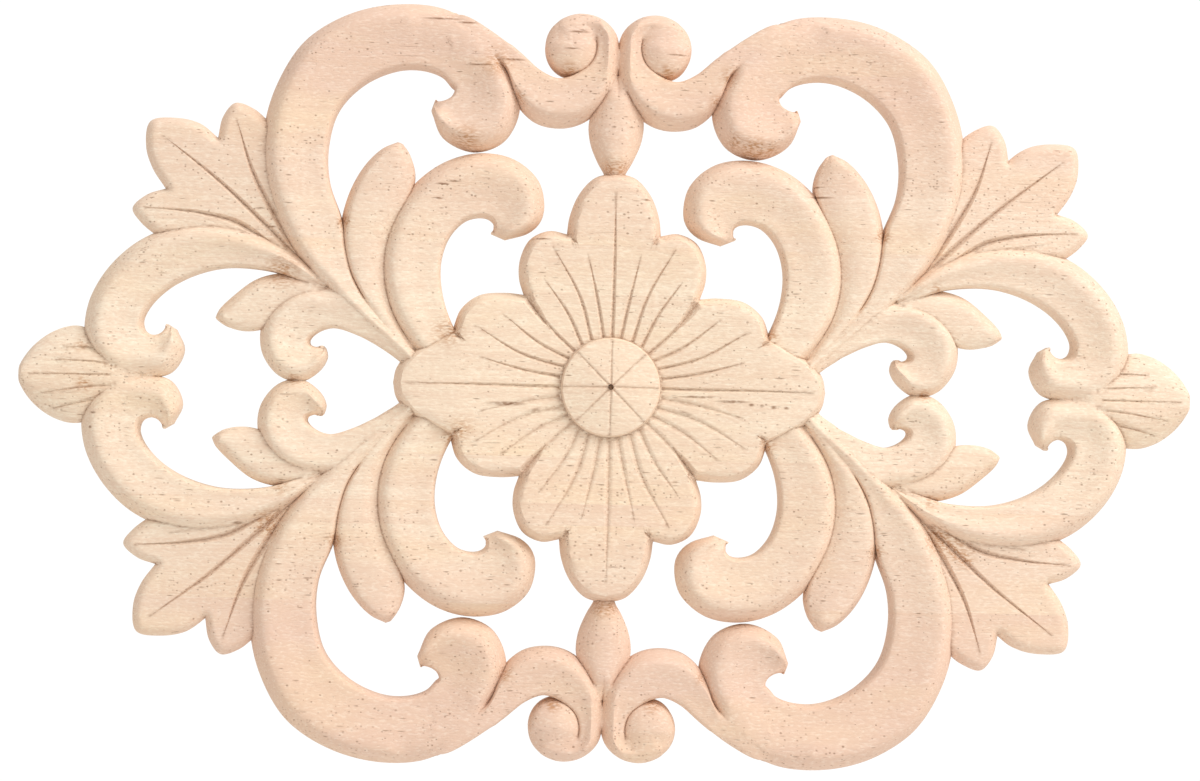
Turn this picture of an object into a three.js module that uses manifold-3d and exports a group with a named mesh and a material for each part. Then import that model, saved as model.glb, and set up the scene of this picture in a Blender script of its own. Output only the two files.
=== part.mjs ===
// A pierced wooden onlay, carved from one flat board. Millimetres, +Z up.
// The flat back lies in the plane y = 0 and the carved front faces -Y.
// A four-petalled flower sits in the middle of four mirrored fans of scrollwork.
import * as THREE from "three";
import { mergeVertices } from "three/addons/utils/BufferGeometryUtils.js";
import Module from "manifold-3d";

// Overall sizes.
const LENGTH = 300; // from bud tip to bud tip, along X
const HEIGHT = 193.5; // over the great scrolls, along Z

// Heights of the carving above the flat back.
const EDGE_H = 4.6; // the square sawn edge, before the rounded rim starts
const GREAT_H = 9.6; // the crest of the great scrolls
const STEM_H = 9; // the crest of the stem that ends in the small volute
const EYE_H = 9.4; // the ball in the middle of the volute
const HEART_H = 9.2; // the crest of the scrolls on either side of the flower
const SIDE_H = 9; // the crest of the scrolls that hold the end buds
const HOOK_H = 8.8; // the crest of the small hooked scrolls
const LEAF_H = 8.6; // the long pointed leaves
const SPRIG_H = 8.2; // the short pointed leaves
const FAN_H = 7.6; // the three-lobed leaves on the outside
const BUD_H = 8.4; // the end buds
const DROP_H = 8.4; // the drops above and below the flower
const PETAL_H = 10.4; // the petals, at their tips
const THROAT_H = 8.8; // the petals, where they meet the button
const BUTTON_EDGE_H = 9.6;
const BUTTON_H = 12; // the middle of the button, the thickest place

// Widths of the rounded rims, on the outer side of each scroll and leaf.
const GREAT_RIM = 4.4;
const STEM_RIM = 3.2;
const HEART_RIM = 4.2;
const SIDE_RIM = 4.2;
const HOOK_RIM = 3.4;
const LEAF_RIM = 3.6;
const SPRIG_RIM = 3.2;
const FAN_RIM = 2.4;
const PETAL_RIM = 2.4;
const BUD_RIM = 8;
const DROP_RIM = 6;

// The narrow arris along the inner side of a scroll, and how far it drops.
const ARRIS = 1.3;
const ARRIS_DROP = 1.4;

// How far a scroll's face falls from its crest to the arris, at its root and at its tip.
const BROAD_FALL = [1, 2.6];
const STEM_FALL = [0.4, 1.6];
const HEART_FALL = [0.8, 2.4];
const LEAF_FALL = [1.4, 2.2];

// The button in the flower's middle, and its drilled centre mark.
const BUTTON_R = 13.2;
const BUTTON_CUTS = 8;
const PIN_R = 0.6;
const PIN_DEPTH = 2.5;

// Cuts of the veining tool.
const VEIN_W = 1.1;
const SEAM_W = 2;
const FAN_VEIN_W = 2.2;
const BUTTON_CUT_W = 0.9;
const BUD_VEIN_W = 1;

// How finely the curves are divided.
const BEND_A_STEP = THREE.MathUtils.degToRad(28);
const ROUND_RIM = 4; // rims as wide as this get a shoulder, and are two facets wide
const SHOULDER_AT = 0.3; // the shoulder, as a share of the rim's width
const EYE_SIDES = 12;
const BUTTON_SIDES = 20;
const PIN_SIDES = 6;

// The pattern of the upper right quarter, which place() below fits to LENGTH and HEIGHT.
// Each scroll or leaf is a ribbon between two rails, given by stations along it:
// [outer x, outer z, inner x, inner z].
const GREAT_SCROLL = [
  [52, 5, 46, 5],
  [66, 18, 57.5, 14.5],
  [76, 26.5, 65.5, 25],
  [82, 33.5, 68, 33],
  [86.5, 42, 69.4, 41],
  [89.7, 52.5, 73, 51],
  [90, 63, 73.5, 60],
  [87.2, 75, 71, 69.5],
  [80.4, 86.4, 64.6, 76.4],
  [69.5, 93.7, 56.3, 80.2],
  [57, 96.9, 50, 80.5],
  [44.5, 96, 45, 78.9],
  [35, 90.5, 42.7, 76.5],
  [28, 82, 41.7, 75.5],
  [24.8, 71.5, 42.3, 74],
  [28.6, 63, 43.3, 73.2],
  [36.5, 60, 44.4, 72.7],
  [44.4, 63.4, 45.5, 72.5],
  [47.4, 69.8, 46.5, 72.6],
];
const STEM = [
  [41, 84, 47.5, 96.4],
  [33.5, 83.5, 40.5, 94.9],
  [28.6, 80, 32.5, 90.9],
  [26, 73, 25, 85.1],
  [20.8, 68.1, 19.8, 80.7],
  [14.5, 66.8, 15.5, 78.9],
  [9, 68, 12.6, 79.4],
  [4, 71.8, 9.4, 81.2],
  [0.8, 77, 6.8, 83.8],
  [-0.3, 84, 5.9, 87.2],
  [0.8, 91, 6.6, 90.2],
  [5, 95, 8.4, 91.4],
  [10.5, 96.2, 11.4, 91],
  [15.4, 94.7, 13.6, 90.4],
  [18.4, 91.2, 16, 89.4],
];
const HEART_SCROLL = [
  [47, 3, 37, 9],
  [55.3, 14.5, 41.3, 16.4],
  [58.8, 23, 43.6, 23.5],
  [59.6, 32, 44, 31],
  [57.4, 41.2, 42, 37.7],
  [51.8, 50.3, 38.3, 41.9],
  [43.8, 56.8, 35, 43],
  [34.8, 59.4, 32.6, 42.8],
  [25.8, 58, 31.3, 42],
  [19.5, 52.6, 30.8, 41.2],
  [18, 45.2, 30.8, 40.6],
  [19.2, 41.8, 30.8, 40],
  [22, 39.3, 31, 39.6],
  [27.8, 37.4, 31.4, 38.9],
];
const SIDE_SCROLL = [
  [71, 23.5, 73, 20],
  [81.5, 33, 83, 25.2],
  [91, 37.7, 91, 28.1],
  [101, 39.5, 99.5, 28],
  [111, 38.6, 107.4, 25.8],
  [120.9, 34.3, 113.4, 22.3],
  [128.6, 26.7, 117.6, 17.9],
  [133, 17.5, 119, 14.3],
  [133.2, 8.3, 118.6, 12.4],
  [127.5, 1.2, 117.8, 11.5],
  [119, -0.4, 116.4, 11],
  [111.9, 1.1, 115.3, 11.9],
  [108.8, 7, 114.6, 12.7],
  [110.8, 12.3, 113.9, 13.7],
];
const HOOK_SCROLL = [
  [52, 10, 48, 1],
  [61.5, 19, 57.5, 7.9],
  [69.5, 23.8, 65, 11.9],
  [77.5, 24, 71.3, 13.6],
  [84.3, 20.9, 75.3, 12.2],
  [88.9, 14.7, 77, 10.3],
  [88.9, 7.1, 76.8, 9.3],
  [84.5, 1.1, 76.1, 8.9],
  [79, -0.3, 75.2, 8.7],
  [73.9, 3, 74.3, 9.1],
  [72.3, 7, 73.4, 9.1],
];
const LONG_LEAF = [
  [53, 7, 49, 8],
  [64, 21.3, 54, 17],
  [68.4, 30, 55, 26],
  [69.7, 38.5, 54.5, 36],
  [68.1, 47.2, 52.2, 46],
  [64.4, 54.7, 51.2, 53],
  [59.6, 59.7, 52.4, 58],
  [55.7, 61.5, 54.4, 61],
];
const SPRIG = [
  [70, 23.5, 76, 19],
  [76, 26.5, 80, 18],
  [83, 27.4, 84, 15.5],
  [90.4, 25.5, 88.3, 13.2],
  [96.4, 21, 93.5, 12.3],
  [100, 17.3, 98.1, 13.3],
  [100.8, 15.4, 100.5, 14.9],
];

// The edge of the three-lobed leaf, lobe by lobe, from the great scroll round to the
// side scroll, and on beneath them to its root.
const FAN_LOBES = [
  [[88.6, 65.8], [92.5, 69], [97.2, 70.4], [100.2, 66.8], [101.4, 61.2]],
  [[101.4, 61.2], [106, 64.7], [112.5, 66], [118.6, 65], [119.6, 58.5], [117.8, 52.8], [114.4, 47.8]],
  [[114.4, 47.8], [119, 46.2], [122.6, 42.6], [120.3, 39], [116, 35.6]],
];
const FAN_ROOT = [
  [116.4, 36],
  [101, 35],
  [82, 27],
  [76, 29.5],
  [84, 46],
];
const FAN_MIDDLE = [97, 48];

// The end bud and the drop lie across an axis, so their rails mirror each other.
const BUD = [
  [122, 2.5, 122, -2.5],
  [128.5, 8.5, 128.5, -8.5],
  [134.8, 12.3, 134.8, -12.3],
  [140.8, 11.1, 140.8, -11.1],
  [146.4, 7.1, 146.4, -7.1],
  [149.7, 2.3, 149.7, -2.3],
  [150, 0.4, 150, -0.4],
];
const DROP = [
  [1.2, 80, -1.2, 80],
  [4.2, 75, -4.2, 75],
  [6.8, 69, -6.8, 69],
  [6.5, 63.5, -6.5, 63.5],
  [4.5, 58.3, -4.5, 58.3],
  [2.6, 54.8, -2.6, 54.8],
  [2.2, 52, -2.2, 52],
];

// The flower's edge in the upper right quarter, one line for each petal: half of the
// upper petal, the two between the axes, and half of the right one.
const PETAL_REACH = 40; // how far out the petals go on rising
const PETALS = [
  [[0, 55.2], [5.2, 53.8], [9.2, 49.5], [11.4, 44], [12, 39.2]],
  [[12, 39.2], [16.5, 39.9], [21.3, 37.6], [23.8, 32.3], [23.9, 27.5], [22.6, 23.2]],
  [[22.6, 23.2], [27.5, 23.6], [34, 22.8], [38.6, 19.2], [40.6, 14]],
  [[40.6, 14], [46, 11.2], [51.5, 7.8], [54.6, 3.8], [55.4, 0]],
];

// The ball in the volute: its middle, and how far it reaches along X and Z.
const EYE = { x: 12, z: 87.3, along: 6.8, up: 7.6 };

// Veins, as the points of their paths, from the deep end to the shallow tip.
const PETAL_VEINS = [
  [[2.2, 12.6], [4, 22], [6.6, 33.2]],
  [[5.2, 11.8], [8.6, 23], [15.5, 35.3]],
  [[7.6, 10.6], [11.5, 18.6], [17.5, 27]],
  [[9.4, 8.9], [14.5, 13.6], [20.6, 21]],
  [[10.8, 7], [18.5, 10.9], [27.3, 17.6]],
  [[12, 4.9], [23, 8.2], [34.5, 14.8]],
  [[12.9, 2.5], [22, 4], [33.5, 7]],
];
// The seam between the two middle petals, from the button's rim to the notch in the edge.
const PETAL_SEAM = [[11.2, 9.6], [16.8, 15.3], [24.5, 25.5]];
const MIDRIBS = [
  [[0, 12.8], [0, 32], [0, 49]],
  [[13, 0], [32, 0], [50.5, 0]],
];
const FAN_VEINS = [
  [[86.8, 43], [92.2, 53], [96.5, 65.6]],
  [[83.8, 34.8], [99, 48.6], [115, 61]],
  [[94, 38.8], [105, 41.7], [119.5, 42.8]],
];
const BUD_VEINS = [
  [[130, 3.2], [136, 4], [143, 3.4]],
  [[132.5, 6.7], [137, 7.3], [141, 6.6]],
];
const BUD_MIDRIB = [[128, 0], [137, 0], [146, 0]];

const wasm = await Module();
wasm.setup();

// The stretch that fits the pattern to the board, and a point of the pattern, at a
// height above the back, as a point of the part.
const SX = LENGTH / 2 / Math.max(...BUD.map(([x]) => x));
const SZ = HEIGHT / 2 / Math.max(...GREAT_SCROLL.map(([, z]) => z));
const place = (x, z, h) => [x * SX, -h, z * SZ];

// A closed mesh from its points and triangles, as a solid.
function solidOf(points, triangles) {
  const geometry = new THREE.BufferGeometry();
  geometry.setAttribute("position", new THREE.Float32BufferAttribute(points.flat(), 3));
  geometry.setIndex(triangles.flat());
  const merged = mergeVertices(geometry, 1e-4);
  return new wasm.Manifold(
    new wasm.Mesh({
      numProp: 3,
      vertProperties: merged.attributes.position.array,
      triVerts: new Uint32Array(merged.index.array),
    }),
  );
}

// The same, with its faces turned outwards whichever way round they were given.
function closedSolid(points, triangles) {
  const made = solidOf(points, triangles);
  return made.volume() < 0 ? solidOf(points, triangles.map(([a, b, c]) => [a, c, b])) : made;
}

// The same solid seen in a mirror across x = 0 (sx = -1) or z = 0 (sz = -1).
function mirrored(solid, sx, sz) {
  const { vertProperties, triVerts } = solid.getMesh();
  const points = vertProperties.map((v, i) => (i % 3 === 0 ? v * sx : i % 3 === 2 ? v * sz : v));
  const swap = sx * sz < 0 ? [0, 1, -1] : [0, 0, 0]; // one mirror turns each face round
  const turned = triVerts.map((_, i) => triVerts[i + swap[i % 3]]);
  return new wasm.Manifold(new wasm.Mesh({ numProp: 3, vertProperties: points, triVerts: turned }));
}

const union = (solids) => solids.reduce((all, next) => all.add(next));
const inHalves = (solid) => [solid, mirrored(solid, -1, -1)];
const inQuarters = (solid) => [
  solid,
  mirrored(solid, -1, 1),
  mirrored(solid, 1, -1),
  mirrored(solid, -1, -1),
];

// A smooth line through the given points.
function smoothLine(points) {
  const vectors = points.map(([x, z]) => new THREE.Vector3(x, z, 0));
  return new THREE.CatmullRomCurve3(vectors, false, "centripetal");
}

// Where along a smooth line its sections go, from 0 to 1: at each of its points, and
// between two points as often as the line bends there by BEND_A_STEP.
function sectionShares(line) {
  const last = line.points.length - 1;
  const shares = [0];
  for (let i = 0; i < last; i++) {
    const bend = line.getTangent(i / last).angleTo(line.getTangent((i + 1) / last));
    const steps = Math.max(1, Math.round(bend / BEND_A_STEP));
    for (let k = 1; k <= steps; k++) shares.push((i + k / steps) / last);
  }
  return shares;
}

// The rounded rim: 0 at the sawn edge, 1 on the crest, u being the share of its width.
const rimRise = (u) => 1 - (1 - u) ** 1.8;

// The heights across a ribbon, as [share of the width, height], outer edge first.
// The shape has a crest, a rim, the fall from the crest to the inner side, and where that
// side is rounded too, its innerRim. Where the ribbon narrows, it also gets lower.
function section(width, shape, along) {
  const inner = shape.innerRim ?? ARRIS;
  const rim = Math.min(shape.rim, 0.45 * width);
  const arris = Math.min(inner, 0.3 * width);
  const fullness = Math.min(1, width / (shape.rim + inner)) ** 0.7;
  const crest = EDGE_H + (shape.crest - EDGE_H) * fullness;
  const fall = shape.fall ? THREE.MathUtils.lerp(...shape.fall, along) * fullness : 0;
  const shelf = Math.max(EDGE_H, crest - fall);
  const sill = shape.innerRim ? EDGE_H : Math.max(EDGE_H - ARRIS_DROP / 2, shelf - ARRIS_DROP * fullness);
  const shoulder = [SHOULDER_AT * rim, EDGE_H + (crest - EDGE_H) * rimRise(SHOULDER_AT)];
  const rows = [
    [0, EDGE_H],
    ...(shape.rim >= ROUND_RIM && !shape.innerRim ? [shoulder] : []),
    [rim, crest],
    [width - arris, shelf],
    [width, sill],
  ];
  return rows.map(([d, h]) => [d / width, h]);
}

// The points of a smooth line at its sections, without its last.
function linePoints(points) {
  const line = smoothLine(points);
  return sectionShares(line)
    .slice(0, -1)
    .map((share) => line.getPoint(share))
    .map(({ x, y }) => [x, y]);
}

// A ribbon between two rails, flat behind and shaped across by its section.
function ribbon(stations, shape) {
  const outer = smoothLine(stations.map(([x, z]) => [x, z]));
  const inner = smoothLine(stations.map(([, , x, z]) => [x, z]));
  const shares = sectionShares(outer);
  const n = shares.length;
  const points = [];
  shares.forEach((share) => {
    const o = outer.getPoint(share);
    const e = inner.getPoint(share);
    const width = Math.hypot((e.x - o.x) * SX, (e.y - o.y) * SZ);
    section(width, shape, share).forEach(([t, h]) =>
      points.push(place(o.x + (e.x - o.x) * t, o.y + (e.y - o.y) * t, h)),
    );
    points.push(place(o.x, o.y, 0), place(e.x, e.y, 0));
  });
  const row = points.length / n;
  const across = row - 2; // points of the carved face in one section
  const at = (i, j) => i * row + j;
  const triangles = [];
  const quad = (a, b, c, d) => triangles.push([a, b, c], [a, c, d]);
  for (let i = 0; i + 1 < n; i++) {
    for (let j = 0; j + 1 < across; j++) quad(at(i, j), at(i, j + 1), at(i + 1, j + 1), at(i + 1, j));
    quad(at(i, across), at(i + 1, across), at(i + 1, across + 1), at(i, across + 1));
    quad(at(i, 0), at(i + 1, 0), at(i + 1, across), at(i, across));
    quad(at(i, across - 1), at(i, across + 1), at(i + 1, across + 1), at(i + 1, across - 1));
  }
  const cap = (i, turn) => {
    const face = (a, b, c) => triangles.push(turn ? [a, c, b] : [a, b, c]);
    for (let j = 0; j + 1 < across; j++) face(at(i, across), at(i, j + 1), at(i, j));
    face(at(i, across), at(i, across + 1), at(i, across - 1));
  };
  cap(0, false);
  cap(n - 1, true);
  return closedSolid(points, triangles);
}

// A pad on a closed outline, flat behind. Each ring of it is the outline moved inwards,
// as [inset, height at a point], and its middle is at the centre given.
function pad([cx, cz], outline, rings, middleHeight = rings.at(-1)[1](cx, cz)) {
  const n = outline.length;
  const inward = outline.map(([x, z], j) => {
    const [ax, az] = outline[(j + n - 1) % n];
    const [bx, bz] = outline[(j + 1) % n];
    const normal = new THREE.Vector2(bz - az, ax - bx).normalize();
    return normal.dot(new THREE.Vector2(cx - x, cz - z)) < 0 ? normal.negate() : normal;
  });
  const points = [place(cx, cz, 0), place(cx, cz, middleHeight)];
  outline.forEach(([x, z]) => points.push(place(x, z, 0)));
  rings.forEach(([inset, height]) =>
    outline.forEach(([x, z], j) => {
      const px = x + inward[j].x * inset;
      const pz = z + inward[j].y * inset;
      points.push(place(px, pz, height(px, pz)));
    }),
  );
  const at = (ring, j) => 2 + ring * n + (j % n);
  const triangles = [];
  for (let j = 0; j < n; j++) {
    triangles.push([0, at(0, j), at(0, j + 1)]);
    for (let r = 0; r < rings.length; r++) {
      triangles.push([at(r, j), at(r + 1, j), at(r + 1, j + 1)]);
      triangles.push([at(r, j), at(r + 1, j + 1), at(r, j + 1)]);
    }
    triangles.push([1, at(rings.length, j + 1), at(rings.length, j)]);
  }
  return closedSolid(points, triangles);
}

const ellipse = (cx, cz, along, up, sides) =>
  Array.from({ length: sides }, (_, i) => {
    const a = (2 * Math.PI * i) / sides;
    return [cx + along * Math.cos(a), cz + up * Math.sin(a)];
  });

// The petals rise from the throat beside the button to their tips.
function petalHeight(x, z) {
  const u = THREE.MathUtils.clamp((Math.hypot(x, z) - BUTTON_R) / (PETAL_REACH - BUTTON_R), 0, 1);
  return THROAT_H + (PETAL_H - THROAT_H) * u;
}

// A V-shaped cutter along a path, its point riding below the surface that it cuts.
// It narrows to nothing at its last point.
const CUTTER_CLEAR = 4; // how far the cutter stands above the surface
function veinCutter(path, width, surface) {
  const curve = smoothLine(path);
  const shares = sectionShares(curve);
  const n = shares.length;
  const points = [];
  shares.forEach((u) => {
    const p = curve.getPoint(u);
    const along = curve.getTangent(u);
    const size = width * (1 - u ** 3);
    const h = surface(p.x, p.y);
    const spread = size / 2 + CUTTER_CLEAR;
    points.push(
      place(p.x, p.y, h - size / 2),
      place(p.x + along.y * spread, p.y - along.x * spread, h + CUTTER_CLEAR),
      place(p.x - along.y * spread, p.y + along.x * spread, h + CUTTER_CLEAR),
    );
  });
  const at = (i, j) => 3 * i + (j % 3);
  const triangles = [
    [at(0, 0), at(0, 1), at(0, 2)],
    [at(n - 1, 0), at(n - 1, 2), at(n - 1, 1)],
  ];
  for (let i = 0; i + 1 < n; i++)
    for (let j = 0; j < 3; j++) {
      triangles.push([at(i, j), at(i + 1, j), at(i + 1, j + 1)]);
      triangles.push([at(i, j), at(i + 1, j + 1), at(i, j + 1)]);
    }
  return closedSolid(points, triangles);
}

// The scrolls and leaves of one quarter.
function scrollwork() {
  const quarter = union([
    ribbon(GREAT_SCROLL, { crest: GREAT_H, rim: GREAT_RIM, fall: BROAD_FALL }),
    ribbon(STEM, { crest: STEM_H, rim: STEM_RIM, fall: STEM_FALL }),
    ribbon(HEART_SCROLL, { crest: HEART_H, rim: HEART_RIM, fall: HEART_FALL }),
    ribbon(SIDE_SCROLL, { crest: SIDE_H, rim: SIDE_RIM, fall: BROAD_FALL }),
    ribbon(HOOK_SCROLL, { crest: HOOK_H, rim: HOOK_RIM, fall: BROAD_FALL }),
    ribbon(LONG_LEAF, { crest: LEAF_H, rim: LEAF_RIM, fall: LEAF_FALL }),
    ribbon(SPRIG, { crest: SPRIG_H, rim: SPRIG_RIM, fall: LEAF_FALL }),
    fan(),
    eye(),
  ]);
  const veins = FAN_VEINS.map((path) => veinCutter(path, FAN_VEIN_W, () => FAN_H));
  return quarter.subtract(union(veins));
}

// The three-lobed leaf, nearly flat inside its rim.
function fan() {
  const outline = [...FAN_LOBES.flatMap(linePoints), ...FAN_ROOT];
  const rings = [
    [0, () => EDGE_H],
    [FAN_RIM, () => FAN_H],
  ];
  return pad(FAN_MIDDLE, outline, rings);
}

// The ball that the volute closes on.
function eye() {
  const dome = (u) => () => EDGE_H + (EYE_H - EDGE_H) * Math.sqrt(1 - (1 - u) ** 2);
  const rings = [0, 0.16, 0.5].map((u) => [u * EYE.along, dome(u)]);
  return pad([EYE.x, EYE.z], ellipse(EYE.x, EYE.z, EYE.along, EYE.up, EYE_SIDES), rings, EYE_H);
}

// The bud at the right end, with its midrib and two veins on either side.
function bud() {
  const height = () => BUD_H;
  const upper = BUD_VEINS.map((path) => veinCutter(path, BUD_VEIN_W, height));
  const lower = upper.map((vein) => mirrored(vein, 1, -1));
  const midrib = veinCutter(BUD_MIDRIB, BUD_VEIN_W, height);
  const body = ribbon(BUD, { crest: BUD_H, rim: BUD_RIM, innerRim: BUD_RIM });
  return body.subtract(union([...upper, ...lower, midrib]));
}

// The flower's whole edge, from the petals of one quarter.
function flowerOutline() {
  const corner = PETALS.flatMap(linePoints);
  const tip = PETALS.at(-1).at(-1);
  const back = corner.slice(1).reverse();
  const right = [...corner, tip, ...back.map(([x, z]) => [x, -z])];
  const bottom = [corner[0][0], -corner[0][1]];
  const left = [...back.reverse().map(([x, z]) => [-x, -z])];
  return [...right, bottom, ...left, [-tip[0], tip[1]], ...left.map(([x, z]) => [x, -z]).reverse()];
}

// The flower: its petals, cut by seams and veins, and the button on top.
function flower() {
  const rings = [
    [0, () => EDGE_H],
    [PETAL_RIM, petalHeight],
  ];
  const seams = inQuarters(veinCutter(PETAL_SEAM, SEAM_W, petalHeight));
  const veins = PETAL_VEINS.flatMap((path) => inQuarters(veinCutter(path, VEIN_W, petalHeight)));
  const midribs = MIDRIBS.flatMap((path) => inHalves(veinCutter(path, VEIN_W, petalHeight)));
  const petals = pad([0, 0], flowerOutline(), rings);
  return petals.subtract(union([...seams, ...veins, ...midribs])).add(button());
}

// The button: a low dome with radial cuts and a drilled centre mark. It stays round when
// the pattern is stretched.
const BUTTON_SHOULDER = [0.06 * BUTTON_R, 0.25]; // inset, and share of the dome's rise
const BUTTON_CUT_ENDS = [0.06, 0.95]; // as shares of the radius
function button() {
  const onButton = (r, angle) => [(r * Math.cos(angle)) / SX, (r * Math.sin(angle)) / SZ];
  const rise = BUTTON_H - BUTTON_EDGE_H;
  const [inset, share] = BUTTON_SHOULDER;
  const rings = [
    [0, () => BUTTON_EDGE_H],
    [inset, () => BUTTON_EDGE_H + share * rise],
  ];
  const outline = ellipse(0, 0, BUTTON_R / SX, BUTTON_R / SZ, BUTTON_SIDES);
  const dome = pad([0, 0], outline, rings, BUTTON_H);
  const slope = (x, z) => BUTTON_H - ((1 - share) * rise * Math.hypot(x, z)) / BUTTON_R;
  const cuts = Array.from({ length: BUTTON_CUTS }, (_, i) => {
    const angle = (2 * Math.PI * i) / BUTTON_CUTS;
    const path = BUTTON_CUT_ENDS.map((u) => onButton(u * BUTTON_R, angle));
    return veinCutter(path, BUTTON_CUT_W, slope);
  });
  return dome.subtract(union([...cuts, drill()]));
}

// The drill that leaves the centre mark, from above the button down to PIN_DEPTH.
function drill() {
  const pin = new THREE.CylinderGeometry(PIN_R, PIN_R, 2 * PIN_DEPTH, PIN_SIDES);
  pin.translate(0, -BUTTON_H, 0);
  const corners = Array.from({ length: pin.attributes.position.count }, (_, i) =>
    new THREE.Vector3().fromBufferAttribute(pin.attributes.position, i).toArray(),
  );
  return solidOf(corners, Array.from(pin.index.array));
}

// The whole board, in one piece.
function onlay() {
  const drop = ribbon(DROP, { crest: DROP_H, rim: DROP_RIM, innerRim: DROP_RIM });
  return union([...inQuarters(scrollwork()), ...inHalves(drop), ...inHalves(bud()), flower()]);
}

function meshOf(solid, name, material) {
  const { vertProperties, triVerts } = solid.getMesh();
  const geometry = new THREE.BufferGeometry();
  geometry.setAttribute("position", new THREE.Float32BufferAttribute(vertProperties, 3));
  geometry.setIndex(new THREE.Uint32BufferAttribute(triVerts, 1));
  geometry.computeVertexNormals();
  const mesh = new THREE.Mesh(geometry, material);
  mesh.name = name;
  return mesh;
}

const paleWood = new THREE.MeshStandardMaterial({ color: 0xf0d9bd, roughness: 0.8, metalness: 0 });

const part = new THREE.Group();
part.add(meshOf(onlay(), "onlay", paleWood));

export default part;
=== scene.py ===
# %% [markdown]
# A carved onlay of scrolls, leaves and a flower
#
# The real object is one pale board, sawn through between its scrolls and carved on the
# front. It is fixed flat against a piece of furniture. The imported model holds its
# true size and its plain facets. This lesson carves a finer board in the same place:
# it has the same outline and heights, but round rims, hollow faces and cut veins.

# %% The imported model
import math

import bmesh
import bpy
from mathutils import Matrix, Vector, kdtree, noise


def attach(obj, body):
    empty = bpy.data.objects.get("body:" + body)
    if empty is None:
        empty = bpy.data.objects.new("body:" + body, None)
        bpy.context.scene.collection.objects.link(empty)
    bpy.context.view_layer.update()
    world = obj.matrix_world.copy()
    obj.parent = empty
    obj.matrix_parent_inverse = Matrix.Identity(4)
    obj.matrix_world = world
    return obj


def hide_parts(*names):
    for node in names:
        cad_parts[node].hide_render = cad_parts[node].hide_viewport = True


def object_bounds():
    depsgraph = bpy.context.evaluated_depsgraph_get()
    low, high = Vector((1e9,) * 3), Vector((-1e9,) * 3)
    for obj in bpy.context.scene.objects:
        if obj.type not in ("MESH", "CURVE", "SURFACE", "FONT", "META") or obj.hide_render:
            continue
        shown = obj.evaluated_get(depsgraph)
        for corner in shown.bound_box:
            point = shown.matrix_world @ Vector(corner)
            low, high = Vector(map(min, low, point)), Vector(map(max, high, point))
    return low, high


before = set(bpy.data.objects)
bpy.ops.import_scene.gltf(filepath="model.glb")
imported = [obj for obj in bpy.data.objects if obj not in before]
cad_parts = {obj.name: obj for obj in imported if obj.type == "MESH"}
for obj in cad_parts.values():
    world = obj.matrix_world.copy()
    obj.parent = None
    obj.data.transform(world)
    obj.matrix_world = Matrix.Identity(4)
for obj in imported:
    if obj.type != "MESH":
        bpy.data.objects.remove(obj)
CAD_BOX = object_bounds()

print("nodes:", list(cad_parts), "box:", [tuple(round(c, 5) for c in corner) for corner in CAD_BOX])

# %% [markdown]
# Units and levels
#
# A carver marks a board in millimetres, and Blender counts in metres. The levels are
# measured up from the flat back: the saw leaves a square edge of one height all round,
# and each form has the height of its own crest above that.

# %% Levels and widths
MM = 0.001
EDGE = 4.6

CREST = {
    "great": 9.6,
    "stem": 9.0,
    "heart": 9.2,
    "side": 9.0,
    "hook": 8.8,
    "leaf": 8.6,
    "sprig": 7.5,
    "fan": 6.7,
    "bud": 8.4,
    "drop": 8.4,
    "eye": 9.4,
}
RIM = {"great": 4.4, "stem": 3.2, "heart": 4.2, "side": 4.2, "hook": 3.4, "leaf": 2.6, "sprig": 3.2}
# How far the face falls from its crest to its inner side, at the root and at the tip.
BROAD_FALL = (1.0, 2.6)
FALL = {
    "great": BROAD_FALL,
    "side": BROAD_FALL,
    "hook": BROAD_FALL,
    "stem": (0.4, 1.6),
    "heart": (0.8, 2.4),
    "leaf": (1.8, 1.2),
    "sprig": (0.8, 1.0),
}
ARRIS = 1.0
ARRIS_DROP = 1.1
NOSE = 2.6  # how far back from its tip a scroll is rounded over
LEAVES = ("leaf", "sprig")  # their faces are full, those of the scrolls are hollow
FAN_RIM = 2.4
PETAL_RIM = 2.4
print(len(CREST), "forms, from", min(CREST.values()), "to", max(CREST.values()), "mm high")

# %% [markdown]
# The pattern
#
# The four quarters mirror each other, as if one paper pattern had been turned over
# twice, so only the upper right quarter is drawn. Every scroll is a ribbon between two
# rails. A station says where both rails are: outer x, outer z, inner x, inner z. There
# are only as many stations as a smooth line needs to pass through.

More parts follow.
